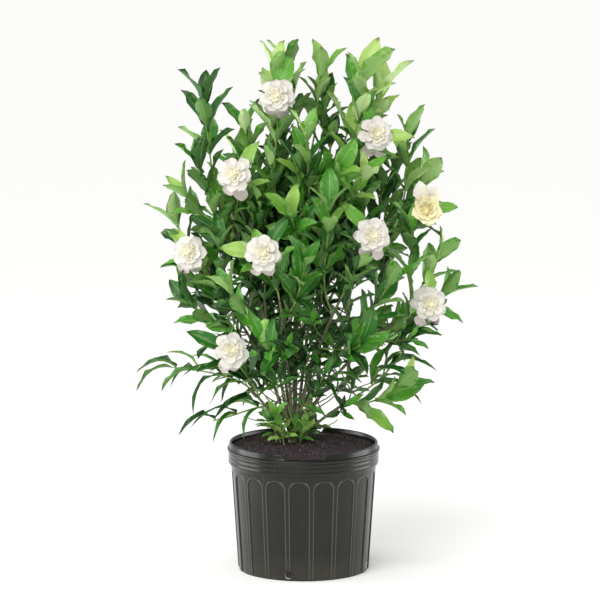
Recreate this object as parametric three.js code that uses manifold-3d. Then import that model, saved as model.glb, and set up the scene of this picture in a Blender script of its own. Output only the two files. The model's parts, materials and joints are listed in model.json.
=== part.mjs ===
// A gardenia in full bloom in its nursery pot: a fluted plastic container, the potting mix that fills it,
// one woody plant of many stems, its leafy shoots and its double white flowers.
// Millimetres, +Z up, the origin at the centre of the pot's underside, -Y the front.
import * as THREE from "three";
import { mergeVertices } from "three/addons/utils/BufferGeometryUtils.js";
import Module from "manifold-3d";

const wasm = await Module();
wasm.setup();

// ---- driving dimensions ----
const potHeight = 238;
const potTopRadius = 140; // over the rim, a trade three-gallon container
const potFootRadius = 116;
const potWall = 2.6;
const fluteCount = 18;
const fluteDepth = 1.8;
const fluteTurn = -0.061; // of the flute nearest the front
const ringSides = 36; // corners of every plain ring of the pot
const gripDepth = 9; // how far the lip dips at the front and at the back
const gripHalfAngle = 0.27;
const drainRadius = 6.5;
const drainHeight = 11;

const soilLevel = 228; // at the wall
const soilCrown = 8; // how far the middle stands above that
const clearance = 0.3; // between solids that touch

const crownRadius = 12;
const crownDepth = 60;
const stemRadius = 3.1;
const stemEndShare = 0.72; // a stem's radius at its end, as a share of that at its foot
const twigRadius = 1.9;
const twigTipRadius = 1.4;
const stemStep = 85; // between the rings that follow a stem
const twigStep = 46; // between the rings of a bare twig

const leafLength = 78;
const leafWidthShare = 0.37;
const leafThickness = 0.9;
const leafPitch = 42; // along the shoot, from one whorl to the next
const leafTiers = 3; // whorls of each shoot that are modelled, counted from its tip
const bloomTiers = 2; // the same under a flower
const leafGap = 0.6; // least distance between leaves of different whorls

const bloomRadius = 36;
const petalThickness = 0.9;
const calyxLength = 9;
const calyxRadius = 4;

const up = new THREE.Vector3(0, 0, 1);
const crown = new THREE.Vector3(-18, 12, 240); // where the stems leave the woody base

// ---- the plant's plan ----
// Each woody stem grows to end, from the crown or from a fork: another stem and a share of its length.
// Its shoots leave it at a share of its length and reach to tip. A shoot with face ends in a flower that
// looks that way, and tip is then the foot of the flower. rise is how strongly a shoot turns up at its tip.
// side is a lesser shoot that grows out of the shoot itself. large and slim scale a shoot's leaves and
// their width.
const stems = {
  trunk: {
    end: [-8, 40, 790],
    radius: 4.4,
    shoots: [
      { at: 1, tip: [-26, 42, 912] },
      { at: 0.9, tip: [30, 30, 905], rise: 0.1 },
    ],
  },
  leftHigh: {
    end: [-148, -22, 680],
    shoots: [
      { at: 1, tip: [-178, -30, 862], rise: 1 },
      { at: 0.8, tip: [-186, -38, 745], side: { at: 0.45, tip: [-210, -52, 698] } },
      { at: 0.9, tip: [-123, -92, 748], face: [-0.25, -1, 0.35] },
    ],
  },
  leftTop: {
    fork: ["leftHigh", 0.42],
    end: [-62, -28, 745],
    shoots: [
      { at: 1, tip: [-54, -12, 909] },
      { at: 0.88, tip: [-48, -52, 886], face: [-0.1, -1, 0.25] },
      { at: 0.74, tip: [-104, -30, 812] },
    ],
  },
  rightTop: {
    end: [68, 4, 770],
    shoots: [
      { at: 1, tip: [104, 0, 890], large: 1.25 },
      { at: 0.9, tip: [134, 22, 862], rise: 0.8, large: 1.2 },
      { at: 0.7, tip: [98, -44, 838], side: { at: 0.35, tip: [104, -88, 735] } },
      { at: 0.82, tip: [130, -66, 817], face: [0.2, -1, 0.3] },
    ],
  },
  rightHigh: {
    fork: ["rightTop", 0.4],
    end: [165, 6, 655],
    shoots: [
      { at: 1, tip: [190, 12, 788] },
      { at: 0.86, tip: [208, 22, 700], rise: 0.8 },
      { at: 0.76, tip: [226, -48, 678], face: [-0.15, -1, 0.1], open: 0.45, large: 0.75 },
    ],
  },
  rightMiddle: {
    end: [165, -12, 462],
    shoots: [
      { at: 1, tip: [240, -16, 572], rise: 0.1, side: { at: 0.45, tip: [198, -42, 636] } },
      { at: 0.86, tip: [228, -56, 504], face: [0.2, -1, 0.2], large: 0.85 },
      { at: 0.76, tip: [246, 10, 500], rise: 0.4, slim: 0.85 },
    ],
  },
  rightLow: {
    end: [104, -18, 330],
    shoots: [
      { at: 1, tip: [184, -14, 412], slim: 0.75 },
      { at: 0.8, tip: [166, -52, 345], rise: 0.6, large: 1.15 },
    ],
  },
  leftMiddle: {
    end: [-146, -6, 505],
    shoots: [
      { at: 1, tip: [-228, 18, 632] },
      { at: 0.88, tip: [-206, -48, 598], face: [-0.3, -1, 0.25] },
      { at: 0.74, tip: [-198, -12, 490], side: { at: 0.4, tip: [-152, -52, 600] } },
    ],
  },
  leftLow: {
    end: [-96, -22, 338],
    shoots: [
      { at: 1, tip: [-238, -14, 378], rise: -0.15, slim: 0.6 },
      { at: 0.82, tip: [-132, -98, 424], face: [0.1, -1, 0.3] },
      { at: 0.66, tip: [-166, -40, 284], rise: 0.1, slim: 0.62 },
      { at: 0.4, tip: [-52, -46, 296], rise: 0.8, large: 0.55 },
    ],
  },
  frontLeft: {
    end: [-44, -96, 520],
    shoots: [
      { at: 1, tip: [-72, -160, 615], face: [-0.1, -1, 0.2] },
      { at: 0.86, tip: [2, -172, 590] },
      { at: 0.6, tip: [-70, -150, 452], side: { at: 0.4, tip: [-128, -112, 530] } },
    ],
  },
  frontRight: {
    end: [68, -88, 520],
    shoots: [
      { at: 1, tip: [124, -148, 645], face: [0.1, -1, 0.25] },
      { at: 0.88, tip: [46, -150, 690] },
      { at: 0.62, tip: [104, -150, 448], side: { at: 0.4, tip: [150, -112, 545] } },
    ],
  },
  front: {
    fork: ["trunk", 0.36],
    end: [8, -52, 690],
    shoots: [
      { at: 1, tip: [6, -84, 806], side: { at: 0.3, tip: [52, -112, 752] } },
      { at: 0.7, tip: [-20, -124, 672] },
    ],
  },
  backLeft: {
    end: [-86, 108, 590],
    shoots: [
      { at: 1, tip: [-118, 140, 735] },
      { at: 0.86, tip: [-142, 188, 602], face: [-0.5, 1, 0.3] },
      { at: 0.68, tip: [-186, 120, 500] },
    ],
  },
  backRight: {
    end: [92, 112, 590],
    shoots: [
      { at: 1, tip: [112, 130, 745] },
      { at: 0.86, tip: [186, 146, 632] },
      { at: 0.72, tip: [112, 206, 548], face: [0.35, 1, 0.3] },
      { at: 0.5, tip: [168, 130, 436] },
    ],
  },
  back: {
    fork: ["backLeft", 0.3],
    end: [0, 142, 520],
    shoots: [
      { at: 1, tip: [-12, 168, 680] },
      { at: 0.78, tip: [0, 222, 560] },
      { at: 0.52, tip: [-62, 190, 430] },
    ],
  },
};

// ---- small helpers ----
const finishes = {
  pot: new THREE.MeshStandardMaterial({ color: 0x4d4d44, roughness: 0.42, metalness: 0 }),
  soil: new THREE.MeshStandardMaterial({ color: 0x2c2326, roughness: 0.95, metalness: 0 }),
  wood: new THREE.MeshStandardMaterial({ color: 0x7a7460, roughness: 0.85, metalness: 0 }),
  leaf: new THREE.MeshStandardMaterial({ color: 0x2f7d22, roughness: 0.35, metalness: 0 }),
  petal: new THREE.MeshStandardMaterial({ color: 0xf3efe2, roughness: 0.6, metalness: 0 }),
};

const vector = ([x, y, z]) => new THREE.Vector3(x, y, z);
const radians = THREE.MathUtils.degToRad;
const fullTurn = 2 * Math.PI;

// A repeatable stream of numbers from 0 to 1.
function stream(seed) {
  let state = seed >>> 0;
  return () => {
    state = (state + 0x6d2b79f5) >>> 0;
    let t = state;
    t = Math.imul(t ^ (t >>> 15), t | 1);
    t ^= t + Math.imul(t ^ (t >>> 7), t | 61);
    return ((t ^ (t >>> 14)) >>> 0) / 4294967296;
  };
}

function solidFrom(points, faces) {
  const vertProperties = new Float32Array(points.flatMap((p) => [p.x, p.y, p.z]));
  const triVerts = new Uint32Array(faces.flat());
  return new wasm.Manifold(new wasm.Mesh({ numProp: 3, vertProperties, triVerts }));
}

function solidOf(geometry) {
  const bare = new THREE.BufferGeometry().setAttribute("position", geometry.getAttribute("position"));
  const merged = mergeVertices(bare.setIndex(geometry.index), 1e-3);
  const vertProperties = merged.attributes.position.array;
  const triVerts = new Uint32Array(merged.index.array);
  return new wasm.Manifold(new wasm.Mesh({ numProp: 3, vertProperties, triVerts }));
}

function meshOf(solid, name, finish) {
  const { numProp, numVert, vertProperties, triVerts } = solid.getMesh();
  const positions = new Float32Array(numVert * 3);
  for (let i = 0; i < numVert; i++) {
    positions.set(vertProperties.subarray(i * numProp, i * numProp + 3), i * 3);
  }
  const geometry = new THREE.BufferGeometry();
  geometry.setAttribute("position", new THREE.BufferAttribute(positions, 3));
  geometry.setIndex(new THREE.BufferAttribute(triVerts, 1));
  geometry.computeVertexNormals();
  const mesh = new THREE.Mesh(geometry, finish);
  mesh.name = name;
  return mesh;
}

// A level ring about the Z axis, its first corner at the front.
function ring(radius, height, count = ringSides, turn = 0) {
  return Array.from({ length: count }, (_, i) => {
    const angle = turn + (fullTurn * i) / count - Math.PI / 2;
    return new THREE.Vector3(radius * Math.cos(angle), radius * Math.sin(angle), height);
  });
}

// The bearings of a level ring's corners, and of its first corner again, once round.
function bearings(corners) {
  const list = [Math.atan2(corners[0].y, corners[0].x)];
  for (let i = 1; i <= corners.length; i++) {
    const { x, y } = corners[i % corners.length];
    list.push(list[i - 1] + THREE.MathUtils.euclideanModulo(Math.atan2(y, x) - list[i - 1], fullTurn));
  }
  return list;
}

// Closes one end of a stack of rings, whose corners start at index start.
function closeEnd(faces, start, count, faceUp) {
  for (let i = 1; i + 1 < count; i++) {
    faces.push(faceUp ? [start, start + i, start + i + 1] : [start, start + i + 1, start + i]);
  }
}

// Skins a stack of level rings that may differ in their number of corners.
function skin(rings) {
  const faces = [];
  let start = 0;
  closeEnd(faces, 0, rings[0].length, false);
  for (let k = 0; k + 1 < rings.length; k++) {
    const [a, b] = [rings[k].length, rings[k + 1].length];
    const [lows, highs] = [bearings(rings[k]), bearings(rings[k + 1])];
    const next = start + a;
    let [i, j] = [0, 0];
    while (i < a || j < b) {
      const [low, high] = [start + (i % a), next + (j % b)];
      if (j >= b || (i < a && lows[i + 1] <= highs[j + 1])) {
        i++;
        faces.push([low, start + (i % a), high]);
      } else {
        j++;
        faces.push([low, next + (j % b), high]);
      }
    }
    start = next;
  }
  closeEnd(faces, start, rings.at(-1).length, true);
  return solidFrom(rings.flat(), faces);
}

// ---- blades: leaves and petals ----
// A blade grows out of one side of a stalk, whose corners are [low, low next, high next, high].
// Its outline has two points on each side and the tip, and a rib point folds it between the first two.
// near and far give their place as [share of length, share of half width].
const leafShape = { near: [0.34, 0.86], far: [0.68, 0.8] };
const petalShape = { near: [0.46, 0.64], far: [0.84, 0.97] };

function addBlade(points, faces, base, blade) {
  const { foot, along, upper, length, width, fold, arch, droop, shape, thickness } = blade;
  const across = new THREE.Vector3().crossVectors(upper, along);
  const put = (share, side, height) => {
    const place = foot.clone().addScaledVector(along, share * length).addScaledVector(across, side);
    const above = place.clone().addScaledVector(upper, height + thickness / 2);
    const below = place.clone().addScaledVector(upper, height - thickness / 2);
    return [points.push(above) - 1, points.push(below) - 1];
  };
  const [nearShare, farShare] = [shape.near[0], shape.far[0]];
  const [nearSide, farSide] = [(shape.near[1] * width) / 2, (shape.far[1] * width) / 2];
  const rise = arch * length;
  const d = [base[3], base[0]];
  const c = [base[2], base[1]];
  const n1 = put(nearShare, -nearSide, rise + fold * nearSide);
  const n2 = put(farShare, -farSide, rise + fold * farSide - 0.4 * droop);
  const tip = put(1, 0, -droop);
  const p2 = put(farShare, farSide, rise + fold * farSide - 0.4 * droop);
  const p1 = put(nearShare, nearSide, rise + fold * nearSide);
  const rib = put(nearShare, 0, rise);
  const sheet = [
    [d, rib, c],
    [c, rib, p1],
    [d, n1, rib],
    [rib, p2, p1],
    [rib, n2, p2],
    [rib, n1, n2],
    [p2, n2, tip],
  ];
  sheet.forEach(([p, q, r]) => faces.push([p[0], q[0], r[0]], [p[1], r[1], q[1]]));
  const edge = [d, n1, n2, tip, p2, p1, c];
  for (let i = 0; i + 1 < edge.length; i++) {
    const [p, q] = [edge[i], edge[i + 1]];
    faces.push([p[0], p[1], q[1]], [p[0], q[1], q[0]]);
  }
}

// A blade by itself, from a share of its length on: it stands for the blade where distances are tested.
function looseBlade(blade, from = 0) {
  const { foot, along, upper, length, thickness } = blade;
  const start = foot.clone().addScaledVector(along, from * length);
  const points = [0.5, -0.5].map((side) => start.clone().addScaledVector(upper, side * thickness));
  const faces = [];
  addBlade(points, faces, [1, 1, 0, 0], blade);
  return solidFrom(
    points,
    faces.filter(([p, q, r]) => p !== q && q !== r && r !== p),
  );
}

// Skins rings of equal count into a stalk. A band [k, side, blade] puts a blade in place of one side
// between ring k and the next.
function grow(rings, bands = []) {
  const points = rings.flat();
  const faces = [];
  const count = rings[0].length;
  closeEnd(faces, 0, count, false);
  for (let k = 0; k + 1 < rings.length; k++) {
    for (let i = 0; i < count; i++) {
      const [a, b] = [k * count + i, k * count + ((i + 1) % count)];
      const [d, c] = [a + count, b + count];
      const band = bands.find((each) => each[0] === k && each[1] === i);
      if (band) addBlade(points, faces, [a, b, c, d], band[2]);
      else faces.push([a, b, c], [a, c, d]);
    }
  }
  closeEnd(faces, (rings.length - 1) * count, count, true);
  return solidFrom(points, faces);
}

// A curve with a steady frame along it.
function route(curve) {
  const steps = 60;
  const frames = curve.computeFrenetFrames(steps, false);
  const at = (share) => {
    const k = Math.round(THREE.MathUtils.clamp(share, 0, 1) * steps);
    const [axis, n, b] = [frames.tangents[k], frames.normals[k], frames.binormals[k]];
    return { point: curve.getPointAt(share), axis, n, b };
  };
  const ringAt = (share, radius, count, turn = 0) => {
    const { point, n, b } = at(share);
    return Array.from({ length: count }, (_, i) => {
      const angle = turn + (fullTurn * i) / count;
      const out = n.clone().multiplyScalar(Math.cos(angle)).addScaledVector(b, Math.sin(angle));
      return point.clone().addScaledVector(out, radius);
    });
  };
  return { length: curve.getLength(), at, ringAt };
}

// ---- pot ----
const collarHeight = 0.82 * potHeight; // top of the plain wall, where the collar steps out
const shoulderHeight = potHeight - 12; // top of the collar's band, where the lip steps in
const mouthHeight = potHeight - 8; // where the lip meets the inside
const mouthRadius = potTopRadius - 8.5;
const wallRadius = (height) => THREE.MathUtils.lerp(potFootRadius + 4, potTopRadius - 7, height / collarHeight);
const insideRadius = (height) => wallRadius(height) - fluteDepth - potWall;

// One level of the fluted wall. Share is 1 at a flute's full width and falls to 0 at its crown.
function flutedRing(height, share, depth) {
  const pitch = fullTurn / fluteCount;
  const half = 0.36 * pitch * share;
  const shoulder = half + 0.04 * pitch;
  const corners = [
    [-shoulder, 0],
    [-half, depth],
    [half, depth],
    [shoulder, 0],
  ];
  return Array.from({ length: fluteCount }, (_, i) =>
    corners.map(([turn, sunk]) => {
      const angle = i * pitch + turn + fluteTurn - Math.PI / 2;
      const radius = wallRadius(height) - sunk;
      return new THREE.Vector3(radius * Math.cos(angle), radius * Math.sin(angle), height);
    }),
  ).flat();
}

function makePot() {
  const springLine = 0.727 * potHeight;
  const archRise = 16;
  const wall = [
    ring(potFootRadius, 0),
    flutedRing(4, 1, fluteDepth),
    flutedRing(springLine, 1, fluteDepth),
    flutedRing(springLine + 0.66 * archRise, 0.75, fluteDepth),
    flutedRing(springLine + archRise, 0.25, 0.4 * fluteDepth),
  ];
  // The collar steps out to a band, and in again to an upright lip. The mouth and the inside follow.
  const turned = [
    [wallRadius(collarHeight), collarHeight],
    [potTopRadius - 2.5, collarHeight + 4],
    [potTopRadius - 2, shoulderHeight - 8],
    [potTopRadius, shoulderHeight - 4],
    [potTopRadius, shoulderHeight],
    [potTopRadius - 3.5, shoulderHeight + 1.5],
    [potTopRadius - 4, potHeight],
    [potTopRadius - 7.5, potHeight],
    [mouthRadius, mouthHeight],
    [insideRadius(collarHeight), collarHeight],
    [insideRadius(potWall), potWall],
  ].map(([radius, height]) => ring(radius, height));
  // The lip dips into a grip at the front and at the back.
  turned.flat().forEach((p) => {
    const offFront = Math.atan2(Math.abs(p.x), Math.abs(p.y));
    if (offFront > gripHalfAngle || p.z < shoulderHeight + 2) return;
    p.z -= p.z > mouthHeight ? gripDepth : gripDepth / 2;
  });
  let pot = skin([...wall, ...turned]);
  for (let i = 0; i < 4; i++) {
    const hole = new THREE.CylinderGeometry(drainRadius, drainRadius, 30, 8);
    hole.translate(0, -potFootRadius, 0).rotateZ((i * Math.PI) / 2 - 0.235).translate(0, 0, drainHeight);
    pot = pot.subtract(solidOf(hole));
  }
  return pot;
}

// ---- potting mix ----
function soilHeight(x, y) {
  const far = Math.hypot(x, y) / potTopRadius;
  const lumps = 2.2 * Math.sin(x / 17 + 1) * Math.cos(y / 21) + 1.3 * Math.sin((x + y) / 9);
  return soilLevel + soilCrown * (1 - far * far) + lumps * Math.min(1, 2.5 * (1 - far));
}

function makeSoil() {
  const fit = (height) => insideRadius(height) - clearance;
  const edge = (soilLevel - 2 - collarHeight) / (mouthHeight - collarHeight);
  const body = [
    ring(fit(potWall), potWall + clearance),
    ring(fit(collarHeight), collarHeight),
    ring(THREE.MathUtils.lerp(fit(collarHeight), mouthRadius - clearance, edge), soilLevel - 2),
  ];
  const top = [
    ring(0.86 * potTopRadius, 0, 30),
    ring(0.62 * potTopRadius, 0, 20),
    ring(0.38 * potTopRadius, 0, 14),
    ring(0.16 * potTopRadius, 0, 8),
  ];
  top.flat().forEach((p) => p.setZ(soilHeight(p.x, p.y)));
  const socketRadius = crownRadius + clearance + 0.1;
  const socket = new THREE.CylinderGeometry(socketRadius, socketRadius, 2 * crownDepth, 8);
  socket.rotateX(Math.PI / 2).translate(crown.x, crown.y, crown.z - clearance);
  return skin([...body, ...top]).subtract(solidOf(socket));
}

// ---- woody stems ----
function stemCurve({ end, fork }, paths) {
  const tip = vector(end);
  if (fork) {
    const parent = paths[fork[0]];
    const foot = parent.getPointAt(fork[1]);
    const lead = parent.getTangentAt(fork[1]).multiplyScalar(0.3 * foot.distanceTo(tip));
    return new THREE.QuadraticBezierCurve3(foot, foot.clone().add(lead), tip);
  }
  const away = tip.clone().sub(crown);
  const foot = crown.clone().add(new THREE.Vector3(away.x, away.y, 0).setLength(5));
  const low = away.z < 150 ? 0.42 : 0.24; // the lowest stems lean out at once
  const bend = foot.clone().add(new THREE.Vector3(low * away.x, low * away.y, 0.52 * away.z));
  return new THREE.QuadraticBezierCurve3(foot.setZ(crown.z - 4), bend, tip);
}

function makeCrown() {
  const stub = new THREE.CylinderGeometry(crownRadius, crownRadius, crownDepth, 8);
  stub.rotateX(Math.PI / 2).translate(crown.x, crown.y, crown.z - crownDepth / 2);
  return solidOf(stub);
}

function makeStem(path, radius) {
  const way = route(path);
  const steps = Math.max(3, Math.round(way.length / stemStep));
  const taper = (share) => radius * THREE.MathUtils.lerp(1, stemEndShare, share);
  return grow(Array.from({ length: steps + 1 }, (_, i) => way.ringAt(i / steps, taper(i / steps), 5)));
}

// ---- leafy shoots ----
// A shoot leaves its stem, heads for its tip and turns up, or towards the way its flower faces.
function shootCurve(stem, { at, tip, face, rise = 0.5 }) {
  const start = stem.getPointAt(at);
  const end = vector(tip);
  const heading = end.clone().sub(start);
  const length = heading.length();
  heading.normalize();
  const along = stem.getTangentAt(at);
  const outward = heading.clone().addScaledVector(along, -heading.dot(along)).normalize();
  const leave = at === 1 ? along : outward.multiplyScalar(0.8).addScaledVector(along, 0.6);
  const arrive = face ? vector(face).normalize() : heading.clone().addScaledVector(up, rise).normalize();
  return new THREE.CubicBezierCurve3(
    start,
    start.clone().addScaledVector(leave, 0.3 * length),
    end.clone().addScaledVector(arrive, -0.32 * length),
    end,
  );
}

// The share of a shoot's length at which a piece of it can start and just clear the wood that carries it.
function seatOf(wood, pieceFrom) {
  let [low, high] = [0, 0.5];
  for (let step = 0; step < 10; step++) {
    const middle = (low + high) / 2;
    if (pieceFrom(middle).minGap(wood, 2) >= clearance) high = middle;
    else low = middle;
  }
  return high;
}

// The whorls of a shoot, from its tip down, each with its share of the shoot's length and three leaves.
function whorlsOf(way, seat, { face, large = 1, slim = 1 }, seed) {
  const draw = stream(seed);
  const first = face ? calyxLength + 8 : 5;
  const start = fullTurn * draw();
  const whorls = [];
  for (let tier = 0; ; tier++) {
    const share = 1 - (first + tier * leafPitch) / way.length;
    if ((share - seat) * way.length < 8) return whorls;
    const { point, axis, n, b } = way.at(share);
    const turn = start + (tier * Math.PI) / 3;
    const open = face ? 66 - 14 * tier : 25 + 10 * tier;
    const leaves = [0, 1, 2].map((side) => {
      const bearing = turn + ((side + 0.5) * fullTurn) / 3;
      const away = n.clone().multiplyScalar(Math.cos(bearing)).addScaledVector(b, Math.sin(bearing));
      const angle = radians(Math.min(74, open + 10 * (draw() - 0.5)));
      const along = axis.clone().multiplyScalar(Math.cos(angle)).addScaledVector(away, Math.sin(angle));
      const length = leafLength * large * (0.78 + 0.44 * draw());
      return {
        foot: point.clone().addScaledVector(away, twigRadius / 2),
        along,
        upper: axis.clone().addScaledVector(along, -axis.dot(along)).normalize(),
        length,
        width: length * leafWidthShare * slim * (0.88 + 0.24 * draw()),
        fold: 0.24,
        arch: 0.05,
        droop: length * (0.04 + 0.12 * draw()),
        shape: leafShape,
        thickness: leafThickness,
      };
    });
    whorls.push({ share, turn, half: (0.65 * leafThickness) / Math.sin(radians(open)), leaves });
  }
}

// The twig with the leaves that each whorl keeps, and the calyx where it carries a flower.
function makeShoot(way, seat, whorls, flowers) {
  const rings = [];
  const bands = [];
  const kept = whorls.filter((whorl) => whorl.leaves.some(Boolean)).reverse();
  const add = (share, radius, turn) => rings.push(way.ringAt(share, radius, 3, turn));
  const taper = (share) => THREE.MathUtils.lerp(twigRadius, twigTipRadius, (share - seat) / (1 - seat));
  const bare = (kept[0]?.share ?? 1) - seat;
  const steps = Math.max(1, Math.floor((bare * way.length) / twigStep));
  for (let i = 0; i < steps; i++) {
    const share = seat + (bare * i) / steps;
    add(share, taper(share), kept[0]?.turn);
  }
  kept.forEach(({ share, turn, half, leaves }, i) => {
    if (i > 0) {
      const middle = (share + kept[i - 1].share) / 2;
      add(middle, taper(middle), (turn + kept[i - 1].turn) / 2);
    }
    add(share - half / way.length, taper(share), turn);
    leaves.forEach((leaf, side) => leaf && bands.push([rings.length - 1, side, leaf]));
    add(share + half / way.length, taper(share), turn);
  });
  const turn = kept.at(-1)?.turn;
  if (flowers) {
    add(1 - calyxLength / way.length, twigTipRadius, turn);
    add(1 - (0.3 * calyxLength) / way.length, calyxRadius, turn);
    add(1, calyxRadius, turn);
  } else {
    add(1, 0.5, turn);
  }
  return grow(rings, bands);
}

// ---- flowers ----
// A double flower in its own frame: it stands on the origin and looks along +z. Petals lift in degrees
// from flat, and more where the flower is half open. open is 1 in full blow.
const petalLayers = [
  { count: 6, height: 6, core: 5.6, length: 1, lift: 4, arch: -0.04 },
  { count: 6, height: 10.5, core: 6, length: 0.8, lift: 24, arch: 0 },
  { count: 3, height: 14.5, core: 5.4, length: 0.5, lift: 56, arch: 0.08 },
];

function makeBloom(open, seed) {
  const draw = stream(seed);
  const sides = 6;
  const side = fullTurn / sides;
  const rings = [ring(3, 0, sides)];
  const bands = [];
  petalLayers.forEach((layer, tier) => {
    const turn = 0.5 * tier * side;
    const [low, high] = [layer.height - 0.8, layer.height + 0.8];
    rings.push(ring(layer.core, low, sides, turn), ring(layer.core, high, sides, turn));
    for (let i = 0; i < sides; i += sides / layer.count) {
      const bearing = turn + (i + 0.5) * side - Math.PI / 2;
      const away = new THREE.Vector3(Math.cos(bearing), Math.sin(bearing), 0);
      const lift = radians(layer.lift + (1 - open) * (60 - 0.6 * layer.lift) + 5 * (draw() - 0.5));
      const along = away.clone().multiplyScalar(Math.cos(lift)).addScaledVector(up, Math.sin(lift));
      const start = layer.core * Math.cos(side / 2);
      const length = (bloomRadius - layer.core) * layer.length;
      // A petal is as wide as its neighbours on both sides leave it, at both of its side points.
      const widths = [petalShape.near, petalShape.far].map(([share, half]) => {
        const reach = start + share * length * Math.cos(lift) - 2 * Math.sin(lift);
        return (2 * (reach * Math.tan(side / 2) - 0.7)) / half;
      });
      const petal = {
        foot: away.multiplyScalar(start).setZ(layer.height),
        along,
        upper: up.clone().addScaledVector(along, -along.z).normalize(),
        length: length * (0.97 + 0.06 * draw()),
        width: Math.min(...widths),
        fold: 0.16,
        arch: layer.arch,
        droop: -layer.arch * bloomRadius,
        shape: petalShape,
        thickness: petalThickness,
      };
      bands.push([rings.length - 2, i, petal]);
    }
  });
  const last = 0.5 * petalLayers.length * side;
  rings.push(ring(3.6, 20, sides, last), ring(1.2, 25, sides, 1.6 * last));
  return grow(rings, bands);
}

function standBloom(bloom, foot, face) {
  const turn = new THREE.Quaternion().setFromUnitVectors(up, face);
  return bloom.transform(new THREE.Matrix4().makeRotationFromQuaternion(turn).setPosition(foot).elements);
}

// ---- assembly ----
function boxesMeet(a, b, margin) {
  return [0, 1, 2].every((k) => a.min[k] - margin < b.max[k] && b.min[k] - margin < a.max[k]);
}

function tooNear(solid, others, gap) {
  const box = solid.boundingBox();
  return others.some((other) => boxesMeet(box, other.box, gap) && solid.minGap(other.solid, 2 * gap) < gap);
}

function makePlant(surroundings) {
  const paths = {};
  const wood = [makeCrown()];
  Object.entries(stems).forEach(([name, stem]) => {
    paths[name] = stemCurve(stem, paths);
    wood.push(makeStem(paths[name], stem.radius ?? stemRadius * (stem.fork ? 0.85 : 1)));
  });
  const plant = wasm.Manifold.union(wood);

  const shoots = [];
  const addShoot = (curve, shoot, seed, seat, node) => {
    const way = route(curve);
    const flowers = Boolean(shoot.face);
    const foot = (share) => grow([share, share + 20 / way.length].map((s) => way.ringAt(s, twigRadius, 6)));
    const start = seat ?? (shoot.at === 1 ? clearance / way.length : seatOf(plant, foot));
    const whorls = whorlsOf(way, start, shoot, seed).slice(0, flowers ? bloomTiers : leafTiers);
    shoots.push({ way, seat: start, seed, flowers, whorls, node, open: shoot.open ?? 1, at: shoot.at });
    if (shoot.side) addShoot(shootCurve(curve, shoot.side), shoot.side, seed + 50, 0, node);
  };
  let nodes = 0;
  Object.entries(stems).forEach(([name, stem], s) => {
    stem.shoots.forEach((shoot, k) => {
      addShoot(shootCurve(paths[name], shoot), shoot, 100 * (s + 1) + k, null, nodes++);
    });
  });

  // Everything that leaves keep clear of: the pot, soil, wood, twigs, flowers and other whorls' leaves.
  const placed = [];
  const place = (solid, shoot, tier) => placed.push({ solid, shoot, tier, box: solid.boundingBox() });
  [...surroundings, ...wood].forEach((piece) => place(piece));
  const blooms = [];
  shoots.forEach((shoot) => {
    place(makeShoot(shoot.way, shoot.seat, [], shoot.flowers), shoot);
    if (!shoot.flowers) return;
    const { point, axis } = shoot.way.at(1);
    const foot = point.clone().addScaledVector(axis, clearance);
    const bloom = standBloom(makeBloom(shoot.open, shoot.seed), foot, axis);
    blooms.push(bloom);
    place(bloom);
  });

  // Leaves go on from the tips down, and one that would come too near anything is left off.
  for (let tier = 0; tier < leafTiers; tier++) {
    shoots.forEach((shoot) => {
      const whorl = shoot.whorls[tier];
      if (!whorl) return;
      whorl.leaves = whorl.leaves.map((leaf) => {
        const solid = looseBlade(leaf);
        const others = placed.filter((other) => other.shoot !== shoot || (other.tier ?? tier) !== tier);
        const own = placed.filter((other) => other.shoot === shoot && (other.tier ?? tier) === tier);
        if (tooNear(solid, others, leafGap) || tooNear(looseBlade(leaf, 0.08), own, 2 * leafGap)) return null;
        place(solid, shoot, tier);
        return leaf;
      });
    });
  }

  const group = new THREE.Group();
  group.add(meshOf(plant, "woody_stems", finishes.wood));
  for (let i = 0; i < nodes; i++) {
    const parts = shoots.filter((shoot) => shoot.node === i);
    const solids = parts.map(({ way, seat, whorls, flowers, at }, k) => {
      const pieceFrom = (share) => makeShoot(way, share, whorls, flowers);
      return pieceFrom(k > 0 || at === 1 ? seat : seatOf(plant, pieceFrom));
    });
    const name = `leafy_shoot_${String(i + 1).padStart(2, "0")}`;
    group.add(meshOf(wasm.Manifold.union(solids), name, finishes.leaf));
  }
  blooms.forEach((bloom, i) => {
    group.add(meshOf(bloom, `bloom_${String(i + 1).padStart(2, "0")}`, finishes.petal));
  });
  return group;
}

const pot = makePot();
const soil = makeSoil();
const pottedGardenia = new THREE.Group();
pottedGardenia.add(meshOf(pot, "pot", finishes.pot));
pottedGardenia.add(meshOf(soil, "soil", finishes.soil));
pottedGardenia.add(makePlant([pot, soil]));

export default pottedGardenia;
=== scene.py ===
import json
import math

import bpy
from mathutils import Matrix, Vector, noise

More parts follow.
